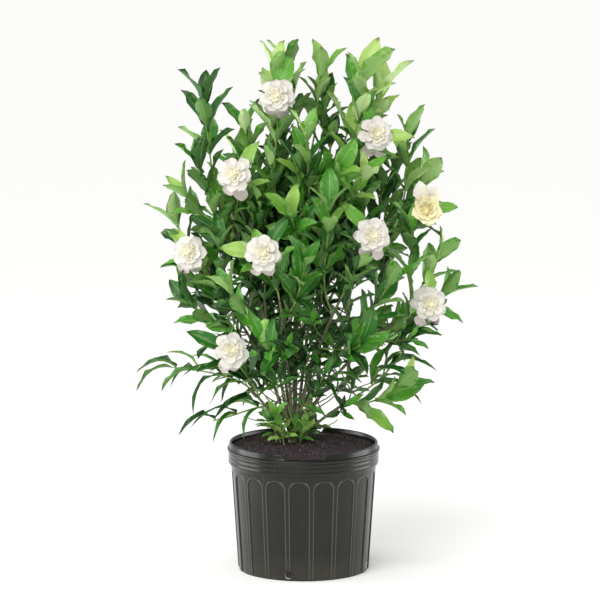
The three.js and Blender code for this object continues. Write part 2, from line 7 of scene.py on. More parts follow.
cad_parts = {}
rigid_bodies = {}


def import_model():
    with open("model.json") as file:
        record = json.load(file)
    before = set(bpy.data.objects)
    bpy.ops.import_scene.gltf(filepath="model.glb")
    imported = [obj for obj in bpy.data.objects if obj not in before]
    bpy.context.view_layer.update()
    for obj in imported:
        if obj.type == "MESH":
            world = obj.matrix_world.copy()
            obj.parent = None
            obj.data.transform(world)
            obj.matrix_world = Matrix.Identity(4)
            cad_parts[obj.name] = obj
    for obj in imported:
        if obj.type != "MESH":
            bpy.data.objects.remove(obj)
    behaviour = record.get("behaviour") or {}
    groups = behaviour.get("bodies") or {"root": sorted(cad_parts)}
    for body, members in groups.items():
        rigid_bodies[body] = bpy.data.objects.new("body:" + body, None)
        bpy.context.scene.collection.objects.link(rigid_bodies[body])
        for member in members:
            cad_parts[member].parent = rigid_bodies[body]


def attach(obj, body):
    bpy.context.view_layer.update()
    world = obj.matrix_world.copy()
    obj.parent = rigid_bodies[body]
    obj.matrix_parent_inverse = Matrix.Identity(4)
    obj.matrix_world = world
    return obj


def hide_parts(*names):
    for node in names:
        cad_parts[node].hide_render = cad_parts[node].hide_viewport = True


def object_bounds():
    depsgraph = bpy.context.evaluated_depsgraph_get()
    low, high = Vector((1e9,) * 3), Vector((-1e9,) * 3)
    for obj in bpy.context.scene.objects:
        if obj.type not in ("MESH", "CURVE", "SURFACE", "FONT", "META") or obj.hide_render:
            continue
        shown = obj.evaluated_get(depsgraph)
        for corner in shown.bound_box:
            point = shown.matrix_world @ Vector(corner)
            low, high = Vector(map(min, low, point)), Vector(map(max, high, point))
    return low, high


# A gardenia in bloom in its nursery pot. Lengths in the dictionaries are millimetres, as in the plan
# that the solids were grown from, and mm turns them to metres.
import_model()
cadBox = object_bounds()
body = "root"
mm = 0.001
fullTurn = 2 * math.pi
goldenAngle = math.radians(137.5)
up = Vector((0, 0, 1))
visible = bpy.context.scene.collection


def lerp(a, b, share):
    return a + (b - a) * share


def smooth(share):
    share = min(1, max(0, share))
    return share * share * (3 - 2 * share)


def between(stops, place):  # a smooth value between given stops
    for (a, low), (b, high) in zip(stops, stops[1:]):
        if place <= b:
            return lerp(low, high, smooth((place - a) / (b - a)))
    return stops[-1][1]


def outward(bearing):  # a level direction
    return Vector((math.cos(bearing), math.sin(bearing), 0))


def square(direction, axis):  # the part of a direction that is square to an axis
    return (direction - axis * axis.dot(direction)).normalized()


def linear(colour):  # sRGB hex to the linear values that shaders take
    channels = [int(colour[i:i + 2], 16) / 255 for i in (1, 3, 5)]
    return [*(c / 12.92 if c <= 0.04045 else ((c + 0.055) / 1.055) ** 2.4 for c in channels), 1]


def stream(seed):  # repeatable numbers from 0 to 1, the same as the plan of the solids draws
    state = seed & 0xffffffff

    def draw():
        nonlocal state
        state = (state + 0x6d2b79f5) & 0xffffffff
        t = ((state ^ (state >> 15)) * (state | 1)) & 0xffffffff
        t ^= (t + (((t ^ (t >> 7)) * (t | 61)) & 0xffffffff)) & 0xffffffff
        return ((t ^ (t >> 14)) & 0xffffffff) / 4294967296

    return draw


def addNode(tree, kind, inputs=(), stops=(), **settings):
    # One node with its settings. inputs are values, sockets or whole nodes, in order or by name.
    node = tree.nodes.new(kind)
    for name, value in settings.items():
        setattr(node, name, value)
    for key, value in inputs.items() if isinstance(inputs, dict) else enumerate(inputs):
        if isinstance(value, bpy.types.Node):
            value = next(socket for socket in value.outputs if socket.enabled)
        if isinstance(value, bpy.types.NodeSocket):
            tree.links.new(value, node.inputs[key])
        else:
            node.inputs[key].default_value = value
    for k, (place, colour) in enumerate(stops):
        elements = node.color_ramp.elements
        element = elements[k] if k < 2 else elements.new(place)
        element.position = place
        element.color = linear(colour)
    return node


# Geometry trees: each takes a host mesh and named inputs, and ends in plain, smooth mesh of one finish.
def startTree(name, sockets):
    tree = bpy.data.node_groups.new(name, "GeometryNodeTree")
    tree.interface.new_socket("Geometry", in_out="OUTPUT", socket_type="NodeSocketGeometry")
    tree.interface.new_socket("Geometry", in_out="INPUT", socket_type="NodeSocketGeometry")
    for label, kind in sockets.items():
        tree.interface.new_socket(label, in_out="INPUT", socket_type="NodeSocket" + kind)
    return tree, addNode(tree, "NodeGroupInput").outputs


def endTree(tree, geometry, material):
    plain = addNode(tree, "GeometryNodeRealizeInstances", [geometry])
    even = addNode(tree, "GeometryNodeSetShadeSmooth", [plain])
    finished = addNode(tree, "GeometryNodeSetMaterial", {0: even, "Material": material})
    addNode(tree, "NodeGroupOutput", [finished])
    return tree


def hostMesh(name, points, edges=(), faces=(), **values):
    mesh = bpy.data.meshes.new(name)
    mesh.from_pydata(points, edges, faces)
    for key, column in values.items():
        vector = hasattr(column[0], "__len__")
        layer = mesh.attributes.new(key, "FLOAT_VECTOR" if vector else "FLOAT", "POINT")
        flat = [x for each in column for x in each] if vector else column
        layer.data.foreach_set("vector" if vector else "value", flat)
    return mesh


def growPiece(name, host, tree, inputs, crease=60):
    # runs a tree on a host mesh and keeps the result as plain mesh
    seedling = bpy.data.objects.new(name, host)
    visible.objects.link(seedling)
    modifier = seedling.modifiers.new("grow", "NODES")
    modifier.node_group = tree
    for item in tree.interface.items_tree:
        if item.in_out == "INPUT" and item.name in inputs:
            modifier[item.identifier] = inputs[item.name]
    graph = bpy.context.evaluated_depsgraph_get()
    mesh = bpy.data.meshes.new_from_object(
        seedling.evaluated_get(graph), preserve_all_data_layers=True, depsgraph=graph)
    bpy.data.objects.remove(seedling)
    for key in ("along", "upper", "size", "kind", "thick"):
        if key in mesh.attributes:
            mesh.attributes.remove(mesh.attributes[key])
    mesh.set_sharp_from_angle(angle=math.radians(crease))
    piece = bpy.data.objects.new(name, mesh)
    visible.objects.link(piece)
    return piece


def settle(piece, nodes):
    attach(piece, body)
    if nodes:
        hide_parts(*nodes)
    return piece


# Finishes. Patterns lie on the piece's own place, in cells of a real size.
def startMaterial(name, **values):
    material = bpy.data.materials.new(name)
    material.use_nodes = True
    shader = material.node_tree.nodes["Principled BSDF"]
    for key, value in values.items():
        shader.inputs[key.replace("_", " ")].default_value = value
    return material, material.node_tree


def endMaterial(material, colour, layers, roughness, relief, depth):
    # Layers lie over the base colour in turn: how much of each shows, and what it is. relief runs from 0 to 1
    # over a real depth in millimetres.
    tree = material.node_tree
    for share, over in layers:
        over = linear(over) if isinstance(over, str) else over
        colour = addNode(tree, "ShaderNodeMix", {0: share, 6: colour, 7: over}, data_type="RGBA")
    bump = addNode(tree, "ShaderNodeBump", {"Height": relief, "Distance": depth * mm, "Strength": 1})
    shader = tree.nodes["Principled BSDF"]
    for key, node in {"Base Color": colour, "Roughness": roughness, "Normal": bump}.items():
        tree.links.new(next(socket for socket in node.outputs if socket.enabled), shader.inputs[key])
    return material


def grain(tree, size, detail=3, stretch=(1, 1, 1)):
    place = addNode(tree, "ShaderNodeTexCoord").outputs["Object"]
    shaped = addNode(tree, "ShaderNodeMapping", {"Vector": place, "Scale": stretch})
    return addNode(tree, "ShaderNodeTexNoise", {"Vector": shaped, "Scale": 1 / (size * mm), "Detail": detail})


# Nursery pots are blow-moulded from recycled black polyethylene: olive-black, with a soft sheen over a
# faint orange peel, fine vertical scuffs, a painted highlight of paler lines along the flute edges, and dust
# low on the wall.
def mouldedPlastic():
    material, tree = startMaterial("moulded recycled polyethylene", IOR=1.43)
    peel, cloud, streak = grain(tree, 2.2, 2), grain(tree, 45, 4), grain(tree, 3, 3, (1, 1, 0.04))
    base = addNode(tree, "ShaderNodeValToRGB", [cloud], [(0.3, "#0d0d0a"), (0.7, "#14140f")])
    scuffs = addNode(tree, "ShaderNodeMapRange", [streak, 0.6, 0.8, 0, 0.3])
    # the paler lines along each flute edge are a painted highlight
    worn = addNode(tree, "ShaderNodeAttribute", attribute_name="worn").outputs["Fac"]
    place = addNode(tree, "ShaderNodeTexCoord").outputs["Object"]
    height = addNode(tree, "ShaderNodeSeparateXYZ", [place]).outputs["Z"]
    low = addNode(tree, "ShaderNodeMapRange", [height, 0, 50 * mm, 0.35, 0])
    dust = addNode(tree, "ShaderNodeMath", [low, cloud], operation="MULTIPLY")
    rough = addNode(tree, "ShaderNodeMapRange", [cloud, 0.3, 0.7, 0.2, 0.3])
    layers = [(scuffs, "#4a493f"), (worn, "#55544a"), (dust, "#5d584a")]
    return endMaterial(material, base, layers, rough, peel, 0.1)


# Potting mix is peat with composted bark: a dark plum-brown mass of matt crumbs, each with its own shade.
def pottingMix():
    material, tree = startMaterial("peat and bark potting mix", IOR=1.4, Specular_IOR_Level=0.3)
    crumb, dust = grain(tree, 4, 5), grain(tree, 0.9)
    shade = addNode(tree, "ShaderNodeAttribute", attribute_name="shade").outputs["Fac"]
    base = addNode(tree, "ShaderNodeValToRGB", [crumb], [(0.3, "#231c1f"), (0.7, "#4a3f45")])
    shades = [(0, "#1e1819"), (0.45, "#41373b"), (0.85, "#5f5153"), (1, "#8f8176")]
    chip = addNode(tree, "ShaderNodeValToRGB", [shade], shades)
    rough = addNode(tree, "ShaderNodeMapRange", [dust, 0.3, 0.7, 0.75, 1])
    return endMaterial(material, base, [(0.6, chip)], rough, dust, 0.6)


# Bark of thin gardenia stems: grey-tan and finely fissured along the stem, with pale corky spots. Wood
# whose age is near 0 is still green.
def thinBark():
    material, tree = startMaterial("thin gardenia bark", IOR=1.45)
    fissure, patch = grain(tree, 1.6, 4, (1, 1, 0.12)), grain(tree, 14)
    place = addNode(tree, "ShaderNodeTexCoord").outputs["Object"]
    spots = addNode(tree, "ShaderNodeTexVoronoi", {"Vector": place, "Scale": 1 / (6 * mm)})
    spot = addNode(tree, "ShaderNodeMapRange", [spots, 0.05, 0.2, 0.7, 0])
    wood = addNode(tree, "ShaderNodeValToRGB", [fissure], [(0.3, "#47462f"), (0.7, "#8e8d6e")])
    spotted = addNode(tree, "ShaderNodeMix", {0: spot, 6: wood, 7: linear("#a9a78b")}, data_type="RGBA")
    green = addNode(tree, "ShaderNodeValToRGB", [patch], [(0.3, "#668838"), (0.7, "#9fba68")])
    age = addNode(tree, "ShaderNodeAttribute", attribute_name="age").outputs["Fac"]
    ripe = addNode(tree, "ShaderNodeMath", [patch, 0.5, age], operation="MULTIPLY_ADD")
    share = addNode(tree, "ShaderNodeMapRange", [ripe, 0.5, 0.85, 0, 1])
    rough = addNode(tree, "ShaderNodeMapRange", [fissure, 0.3, 0.7, 0.55, 0.85])
    return endMaterial(material, green, [(share, spotted)], rough, fissure, 0.3)


# A gardenia leaf has a thick waxy cuticle over quilted veins: glossy and deep green when old, a softer
# yellow-green when new, paler and matt underneath, with a point that dries brown. u runs from stalk to tip
# and v from edge to edge.
def waxyLeaf():
    material, tree = startMaterial("waxy gardenia leaf", IOR=1.45)
    uv = addNode(tree, "ShaderNodeUVMap", uv_map="UVMap")
    u, v, _ = addNode(tree, "ShaderNodeSeparateXYZ", [uv]).outputs
    centred = addNode(tree, "ShaderNodeMath", [v, 0.5], operation="SUBTRACT")
    off = addNode(tree, "ShaderNodeMath", [centred], operation="ABSOLUTE")
    age = addNode(tree, "ShaderNodeAttribute", attribute_name="age").outputs["Fac"]
    under = addNode(tree, "ShaderNodeAttribute", attribute_name="under").outputs["Fac"]
    mottle = grain(tree, 9)
    shade = addNode(tree, "ShaderNodeMath", [mottle, 0.12, age], operation="MULTIPLY_ADD")
    shaded = addNode(tree, "ShaderNodeMath", [shade, 0.06], operation="SUBTRACT")
    tops = [(0, "#b9d878"), (0.25, "#86b548"), (0.5, "#4f9c26"), (0.75, "#257014"), (1, "#0e3a08")]
    backs = [(0, "#c0dc9a"), (0.4, "#86b25e"), (1, "#3a6a32")]
    top = addNode(tree, "ShaderNodeValToRGB", [shaded], tops)
    back = addNode(tree, "ShaderNodeValToRGB", [shaded], backs)
    # nine pairs of side veins sweep towards the tip from a pale midrib
    swept = addNode(tree, "ShaderNodeMath", [off, -5], operation="MULTIPLY")
    pairs = addNode(tree, "ShaderNodeMath", [u, 9, swept], operation="MULTIPLY_ADD")
    cell = addNode(tree, "ShaderNodeMath", [pairs, 0.5], operation="PINGPONG")
    vein = addNode(tree, "ShaderNodeMapRange", [cell, 0, 0.09, 0.3, 0])
    rib = addNode(tree, "ShaderNodeMapRange", [off, 0.012, 0.045, 1, 0])
    lines = addNode(tree, "ShaderNodeMath", [rib, vein], operation="MAXIMUM")
    pale = addNode(tree, "ShaderNodeMath", [lines, 0.27], operation="MULTIPLY")
    dry = addNode(tree, "ShaderNodeMapRange", [u, 0.9, 1, 0, 0.85])
    gloss = addNode(tree, "ShaderNodeMapRange", [mottle, 0.3, 0.7, 0.26, 0.38])
    rough = addNode(tree, "ShaderNodeMix", {0: under, 2: gloss, 3: 0.6})
    quilt = addNode(tree, "ShaderNodeMath", [cell, 1.6], operation="MULTIPLY")
    relief = addNode(tree, "ShaderNodeMath", [rib, -0.8, quilt], operation="MULTIPLY_ADD")
    layers = [(under, back), (pale, "#cfe09a"), (dry, "#30291a")]
    return endMaterial(material, top, layers, rough, relief, 0.35)


# Gardenia petals are thick, velvety and cream white, with faint veins that fan to the edge, and turn
# butter-yellow where they are still furled in the heart of the flower. The lowest ages paint a pinkish-grey
# shade.
def velvetPetal():
    material, tree = startMaterial(
        "velvety gardenia petal", IOR=1.4, Subsurface_Weight=0.2, Subsurface_Scale=2 * mm,
        Subsurface_Radius=(1, 0.95, 0.85))
    uv = addNode(tree, "ShaderNodeUVMap", uv_map="UVMap")
    u = addNode(tree, "ShaderNodeSeparateXYZ", [uv]).outputs[0]
    age = addNode(tree, "ShaderNodeAttribute", attribute_name="age").outputs["Fac"]
    foot = addNode(tree, "ShaderNodeMapRange", [u, 0, 0.5, 0.3, 0])
    depth = addNode(tree, "ShaderNodeMath", [age, foot])
    # the lowest stops are a painted pinkish-grey shade, for the back ring and the petals that hang below
    shades = [(0, "#cdc1bd"), (0.1, "#dcd8d0"), (0.3, "#ece7da"), (0.6, "#f6f1d8"), (1, "#fdf2bc")]
    base = addNode(tree, "ShaderNodeValToRGB", [depth], shades)
    fanned = addNode(tree, "ShaderNodeMapping", {"Vector": uv, "Scale": (1.5, 26, 1)})
    fan = addNode(tree, "ShaderNodeTexNoise", {"Vector": fanned, "Scale": 1, "Detail": 2})
    lines = addNode(tree, "ShaderNodeMapRange", [fan, 0.5, 0.75, 0, 0.1])
    rough = addNode(tree, "ShaderNodeMapRange", [fan, 0.3, 0.7, 0.5, 0.62])
    return endMaterial(material, base, [(lines, "#cfc6b6")], rough, fan, 0.2)


plastic, peat, bark, leafGreen, petalWhite = (
    mouldedPlastic(), pottingMix(), thinBark(), waxyLeaf(), velvetPetal())
print("finishes ready")

pot = dict(
    height=238, topRadius=140, footRadius=116, floorRadius=60, wall=2.6, flutes=18, fluteDepth=2.1,
    fluteShare=0.8, fluteTurn=-0.061, fluteTop=193, springLine=170, archRise=17, collar=195.2,
    ridges=(203, 211, 219), ridgeDepth=0.5, ledge=227.2, gripDepth=9, gripHalfAngle=0.27, gripEase=0.03,
    drains=4, drainRadius=6.5, drainHeight=11, drainTurn=-0.235)


def wallRadius(height):
    return lerp(pot["footRadius"] + 4, pot["topRadius"] - 7, height / pot["collar"])


def insideRadius(height):
    return wallRadius(height) - pot["fluteDepth"] - pot["wall"]


def potSection():
    # radius and height of each ring, from under the middle round the lip to the floor inside
    top, height, collar, ledge = pot["topRadius"], pot["height"], pot["collar"], pot["ledge"]
    middle, foot = pot["floorRadius"], pot["footRadius"]
    section = [(0, 0), (middle, 0), (foot, 0), (foot + 2.8, 1)]
    levels = [3, 6, 12, *range(24, 168, 16), pot["springLine"]]
    for angle in (12, 24, 36, 48, 58, 68, 78, 90):
        levels.append(pot["springLine"] + pot["archRise"] * math.sin(math.radians(angle)))
    levels.append(levels[-1] + 1)
    section += [(wallRadius(level), level) for level in [*levels, pot["fluteTop"], collar]]
    section += [(wallRadius(collar) + 1, collar + 1), (top - 3.6, collar + 2.6), (top - 2.6, collar + 4.4)]
    for ridge in pot["ridges"]:
        for rise, step in ((0, -2), (0.7, -1), (1, 0), (0.7, 1), (0, 2)):
            section.append((top - 2.4 + rise * pot["ridgeDepth"], ridge + step))
    for back, step in ((0.9, -4.6), (0, -3), (0, -1.5), (0.7, -0.5), (2.8, 0), (3.5, 1)):
        section.append((top - back, ledge + step))
    for back, drop in ((3.6, 2.6), (4.2, 0.8), (5.4, 0), (6.8, 0), (8, 1), (8.5, 8)):
        section.append((top - back, height - drop))
    inside = [(insideRadius(level), level) for level in (collar, 100, pot["wall"])]
    return section + inside + [(middle, pot["wall"]), (0, pot["wall"])], len(section)


def potSector():
    # one flute and half of the rib on each side of it; its columns lean in with the arch
    half, edge = fullTurn / pot["flutes"] / 2, pot["fluteShare"]
    right = [0.14, 0.28, 0.42, 0.56, 0.66, 0.72, 0.74, 0.76, 0.78, edge, 0.9, 1]
    columns = [*(-share for share in reversed(right)), 0, *right]
    section, outside = potSection()
    points, worn = [], []
    for k, (radius, height) in enumerate(section):
        over = min(1.1, max(0, (height - pot["springLine"]) / pot["archRise"]))
        fluted = k < outside and height < pot["fluteTop"]
        # the columns never lean in past a third, so that no face over the arch is a sliver
        lean = math.sqrt(max(0.12, 1 - over * over)) if fluted else 1
        for share in columns:
            side = abs(share)
            leant = side * lean if side < edge else lerp(edge * lean, 1, (side - edge) / (1 - edge))
            inset = 1 - math.hypot(leant / edge, over)
            sunk = pot["fluteDepth"] * smooth(inset * 14) * smooth(height / 4) if fluted else 0
            away = outward(math.copysign(leant, share) * half - math.pi / 2)
            points.append((away * (radius - sunk) + up * height) * mm)
            # the flute edges are marked for a painted highlight, a paler line in the finish
            worn.append(fluted and abs(inset) < 0.02 and 4 < height)
    wide = len(columns)
    faces = []
    for k in range(len(section) - 1):
        for i in range(k * wide, (k + 1) * wide - 1):
            faces.append((i, i + 1, i + wide + 1, i + wide))
    return hostMesh("flute", points, faces=faces, worn=worn)


def potTree():
    tree, given = startTree("flutes round a pot", {
        "Flutes": "Int", "Turn": "Float", "Ledge": "Float", "Height": "Float", "Grip depth": "Float",
        "Grip from": "Float", "Grip to": "Float", "Finish": "Material"})
    places = addNode(tree, "GeometryNodePoints", [given["Flutes"]])
    number = addNode(tree, "GeometryNodeInputIndex")
    pitch = addNode(tree, "ShaderNodeMath", [fullTurn, given["Flutes"]], operation="DIVIDE")
    angle = addNode(tree, "ShaderNodeMath", [number, pitch, given["Turn"]], operation="MULTIPLY_ADD")
    euler = addNode(tree, "ShaderNodeCombineXYZ", {"Z": angle})
    turn = addNode(tree, "FunctionNodeEulerToRotation", [euler])
    around = addNode(tree, "GeometryNodeInstanceOnPoints", {
        "Points": places, "Instance": given["Geometry"], "Rotation": turn})
    flutes = addNode(tree, "GeometryNodeRealizeInstances", [around])
    shell = addNode(tree, "GeometryNodeMergeByDistance", {0: flutes, "Distance": 0.02 * mm})
    # the lip sinks almost to the ledge at the two grips, front and back
    x, y, z = addNode(tree, "ShaderNodeSeparateXYZ", [addNode(tree, "GeometryNodeInputPosition")]).outputs
    sides = [addNode(tree, "ShaderNodeMath", [side], operation="ABSOLUTE") for side in (x, y)]
    off = addNode(tree, "ShaderNodeMath", sides, operation="ARCTAN2")
    near = addNode(tree, "ShaderNodeMapRange", [off, given["Grip from"], given["Grip to"], 1, 0],
                   interpolation_type="SMOOTHSTEP")
    drop = addNode(tree, "ShaderNodeMapRange", [z, given["Ledge"], given["Height"], 0, given["Grip depth"]])
    sunk = addNode(tree, "ShaderNodeMath", [drop, near], operation="MULTIPLY")
    down = addNode(tree, "ShaderNodeMath", [sunk, -1], operation="MULTIPLY")
    offset = addNode(tree, "ShaderNodeCombineXYZ", {"Z": down})
    dipped = addNode(tree, "GeometryNodeSetPosition", {0: shell, "Offset": offset})
    return endTree(tree, dipped, given["Finish"])


def drillDrains(piece):
    # the drain holes are just over the foot, evenly apart
    cutters = []
    for k in range(pot["drains"]):
        away = outward(k * fullTurn / pot["drains"] + pot["drainTurn"] - math.pi / 2)
        bpy.ops.mesh.primitive_cylinder_add(vertices=32, radius=pot["drainRadius"] * mm, depth=30 * mm)
        cutter = bpy.context.object
        place = (away * pot["footRadius"] + up * pot["drainHeight"]) * mm
        cutter.matrix_world = Matrix.Translation(place) @ away.to_track_quat("Z", "Y").to_matrix().to_4x4()
        cut = piece.modifiers.new("drain", "BOOLEAN")
        cut.object = cutter
        cut.solver = "MANIFOLD"
        cutters.append(cutter)
    graph = bpy.context.evaluated_depsgraph_get()
    piece.data = bpy.data.meshes.new_from_object(piece.evaluated_get(graph), depsgraph=graph)
    piece.modifiers.clear()
    for cutter in cutters:
        bpy.data.objects.remove(cutter)
    piece.data.set_sharp_from_angle(angle=math.radians(50))


shell = growPiece("fluted_pot", potSector(), potTree(), {
    "Flutes": pot["flutes"], "Turn": pot["fluteTurn"], "Ledge": pot["ledge"] * mm,
    "Height": pot["height"] * mm, "Grip depth": pot["gripDepth"] * mm,
    "Grip from": pot["gripHalfAngle"] - pot["gripEase"], "Grip to": pot["gripHalfAngle"] + pot["gripEase"],
    "Finish": plastic})
drillDrains(shell)
settle(shell, ["pot"])
print("pot moulded:", len(shell.data.polygons), "faces")

mix = dict(
    level=228, crown=8, gap=0.4, rings=26, spokes=96, lumps=1.6, lumpSize=9, grains=52000, grainsFrom=222,
    small=0.7, large=2.4, seed=7)


def soilHeight(x, y):
    # domed a little, with the same gentle lumps as the solid
    far = math.hypot(x, y) / pot["topRadius"]
    lumps = 2.2 * math.sin(x / 17 + 1) * math.cos(y / 21) + 1.3 * math.sin((x + y) / 9)
    return mix["level"] + mix["crown"] * (1 - far * far) + lumps * min(1, 2.5 * (1 - far))


def soilBody():
    floor, collar, spokes = pot["wall"] + mix["gap"], pot["collar"], mix["spokes"]
    section = [(insideRadius(level) - mix["gap"], level) for level in (floor, collar)]
    edge = insideRadius(collar) + 2
    section += [(edge * k / mix["rings"], None) for k in range(mix["rings"], 0, -1)]
    points = []
    for radius, height in section:
        for i in range(spokes):
            x, y = radius * math.cos(fullTurn * i / spokes), radius * math.sin(fullTurn * i / spokes)
            lump = mix["lumps"] * noise.fractal(Vector((x, y, 0)) / mix["lumpSize"], 1, 2, 4)
            top = soilHeight(x, y) + lump * min(1, (edge - radius) / 20)
            points.append((x * mm, y * mm, (height or top) * mm))
    faces = [tuple(reversed(range(spokes)))]
    for k in range(len(section) - 1):
        for i in range(spokes):
            a, b = k * spokes + i, k * spokes + (i + 1) % spokes
            faces.append((a, b, b + spokes, a + spokes))
    last = len(points) - spokes
    points.append((0, 0, soilHeight(0, 0) * mm))
    faces += [(last + i, last + (i + 1) % spokes, len(points) - 1) for i in range(spokes)]
    return hostMesh("soil body", points, faces=faces, shade=[0.3] * len(points))


def soilTree():
    tree, given = startTree("crumbs on potting mix", {
        "Density": "Float", "Small": "Float", "Large": "Float", "Above": "Float", "Seed": "Int",
        "Finish": "Material"})
    position = addNode(tree, "GeometryNodeInputPosition")
    height = addNode(tree, "ShaderNodeSeparateXYZ", [position]).outputs["Z"]
    surface = addNode(tree, "FunctionNodeCompare", [height, given["Above"]], operation="GREATER_THAN")
    spread = addNode(tree, "GeometryNodeDistributePointsOnFaces", {
        "Mesh": given["Geometry"], "Selection": surface, "Density": given["Density"], "Seed": given["Seed"]})
    crumb = addNode(tree, "GeometryNodeMeshIcoSphere", {"Radius": 1, "Subdivisions": 1})
    size = addNode(tree, "FunctionNodeRandomValue", {
        2: given["Small"], 3: given["Large"], "Seed": given["Seed"]})
    shape = addNode(tree, "FunctionNodeRandomValue", {0: (0.6, 0.6, 0.4), 1: (1.6, 1, 0.8), "Seed": 3},
                    data_type="FLOAT_VECTOR")
    scale = addNode(tree, "ShaderNodeVectorMath", {0: shape, "Scale": size}, operation="SCALE")
    euler = addNode(tree, "FunctionNodeRandomValue", {0: (0, 0, 0), 1: (fullTurn,) * 3, "Seed": 5},
                    data_type="FLOAT_VECTOR")
    turn = addNode(tree, "FunctionNodeEulerToRotation", [euler])
    crumbs = addNode(tree, "GeometryNodeInstanceOnPoints", {
        "Points": spread, "Instance": crumb, "Rotation": turn, "Scale": scale})
    tone = addNode(tree, "FunctionNodeRandomValue", {2: 0, 3: 1, "Seed": 9})
    toned = addNode(tree, "GeometryNodeStoreNamedAttribute", {0: crumbs, "Name": "shade", "Value": tone},
                    domain="INSTANCE")
    joined = addNode(tree, "GeometryNodeJoinGeometry", [given["Geometry"]])
    tree.links.new(toned.outputs[0], joined.inputs[0])
    return endTree(tree, joined, given["Finish"])


soil = growPiece("potting_mix", soilBody(), soilTree(), {
    "Density": mix["grains"], "Small": mix["small"] * mm, "Large": mix["large"] * mm,
    "Above": mix["grainsFrom"] * mm, "Seed": mix["seed"], "Finish": peat}, crease=40)
settle(soil, ["soil"])
print("potting mix filled:", len(soil.data.polygons), "faces")

# The plant's plan, as in the solids. Each woody stem grows to end, from the crown or from a fork: another
# stem and a share of its length. Its shoots leave it at a share of its length and reach to tip. A shoot
# with face ends in a flower that looks that way, half open where open says so. rise is how strongly a shoot
# turns up, and side is a lesser shoot of the shoot itself. large and slim scale its leaves and their width,
# arched bends them over and fresh makes them paler.
crown = Vector((-18, 12, 240))
clearance = 0.3  # between one solid and the next
stems = dict(
    trunk=dict(end=(-8, 40, 790), radius=4.4, shoots=[
        dict(at=1, tip=(-26, 42, 912), fresh=-0.7),
        dict(at=0.9, tip=(30, 30, 905), rise=0.1, fresh=-0.2)]),
    leftHigh=dict(end=(-148, -22, 680), shoots=[
        dict(at=1, tip=(-178, -30, 862), rise=1, fresh=-0.9),
        dict(at=0.8, tip=(-186, -38, 745), fresh=-0.7, side=dict(at=0.45, tip=(-210, -52, 698))),
        dict(at=0.9, tip=(-123, -92, 748), face=(-0.25, -1, 0.35))]),
    leftTop=dict(fork=("leftHigh", 0.42), end=(-62, -28, 745), shoots=[
        dict(at=1, tip=(-54, -12, 909), fresh=0.8),
        dict(at=0.88, tip=(-48, -52, 886), face=(-0.1, -1, 0.25)),
        dict(at=0.74, tip=(-104, -30, 812))]),
    rightTop=dict(end=(68, 4, 770), shoots=[
        dict(at=1, tip=(104, 0, 890), large=1.25, fresh=0.9),
        dict(at=0.9, tip=(134, 22, 862), rise=0.8, large=1.2, fresh=0.7),
        dict(at=0.7, tip=(98, -44, 838), side=dict(at=0.35, tip=(104, -88, 735), fresh=0.7)),
        dict(at=0.82, tip=(130, -66, 817), face=(0.2, -1, 0.3))]),
    rightHigh=dict(fork=("rightTop", 0.4), end=(165, 6, 655), shoots=[
        dict(at=1, tip=(190, 12, 788)),
        dict(at=0.86, tip=(208, 22, 700), rise=0.8),
        dict(at=0.76, tip=(226, -48, 678), face=(-0.15, -1, 0.1), open=0.45, large=0.75)]),
    rightMiddle=dict(end=(165, -12, 462), shoots=[
        dict(at=1, tip=(240, -16, 572), rise=0.1, fresh=0.9, side=dict(at=0.45, tip=(198, -42, 636))),
        dict(at=0.86, tip=(228, -56, 504), face=(0.2, -1, 0.2), large=0.85),
        dict(at=0.76, tip=(246, 10, 500), rise=0.4, slim=0.85, fresh=0.9)]),
    rightLow=dict(end=(104, -18, 330), shoots=[
        dict(at=1, tip=(184, -14, 412), slim=0.6, arched=True, fresh=-0.5),
        dict(at=0.8, tip=(166, -52, 345), rise=0.6, large=1.15, fresh=0.8)]),
    leftMiddle=dict(end=(-146, -6, 505), shoots=[
        dict(at=1, tip=(-228, 18, 632)),
        dict(at=0.88, tip=(-206, -48, 598), face=(-0.3, -1, 0.25)),
        dict(at=0.74, tip=(-198, -12, 490), side=dict(at=0.4, tip=(-152, -52, 600)))]),
    leftLow=dict(end=(-96, -22, 338), shoots=[
        dict(at=1, tip=(-238, -14, 378), rise=-0.15, slim=0.45, arched=True, fresh=-0.8),
        dict(at=0.82, tip=(-132, -98, 424), face=(0.1, -1, 0.3)),
        dict(at=0.66, tip=(-166, -40, 284), rise=0.1, slim=0.48, arched=True, fresh=-0.5),
        dict(at=0.4, tip=(-52, -46, 296), rise=0.8, large=0.55, fresh=0.6)]),
    frontLeft=dict(end=(-44, -96, 520), shoots=[
        dict(at=1, tip=(-72, -160, 615), face=(-0.1, -1, 0.2)),
        dict(at=0.86, tip=(2, -172, 590)),
        dict(at=0.6, tip=(-70, -150, 452), side=dict(at=0.4, tip=(-128, -112, 530)))]),
    frontRight=dict(end=(68, -88, 520), shoots=[
        dict(at=1, tip=(124, -148, 645), face=(0.1, -1, 0.25)),
        dict(at=0.88, tip=(46, -150, 690)),
        dict(at=0.62, tip=(104, -150, 448), side=dict(at=0.4, tip=(150, -112, 545)))]),
    front=dict(fork=("trunk", 0.36), end=(8, -52, 690), shoots=[
        dict(at=1, tip=(6, -84, 806), side=dict(at=0.3, tip=(52, -112, 752))),
        dict(at=0.7, tip=(-20, -124, 672))]),
    backLeft=dict(end=(-86, 108, 590), shoots=[
        dict(at=1, tip=(-118, 140, 735)),
        dict(at=0.86, tip=(-142, 188, 602), face=(-0.5, 1, 0.3)),
        dict(at=0.68, tip=(-186, 120, 500))]),
    backRight=dict(end=(92, 112, 590), shoots=[
        dict(at=1, tip=(112, 130, 745)),
        dict(at=0.86, tip=(186, 146, 632)),
        dict(at=0.72, tip=(112, 206, 548), face=(0.35, 1, 0.3)),
        dict(at=0.5, tip=(168, 130, 436))]),
    back=dict(fork=("backLeft", 0.3), end=(0, 142, 520), shoots=[
        dict(at=1, tip=(-12, 168, 680)),
        dict(at=0.78, tip=(0, 222, 560)),
        dict(at=0.52, tip=(-62, 190, 430))]),
)
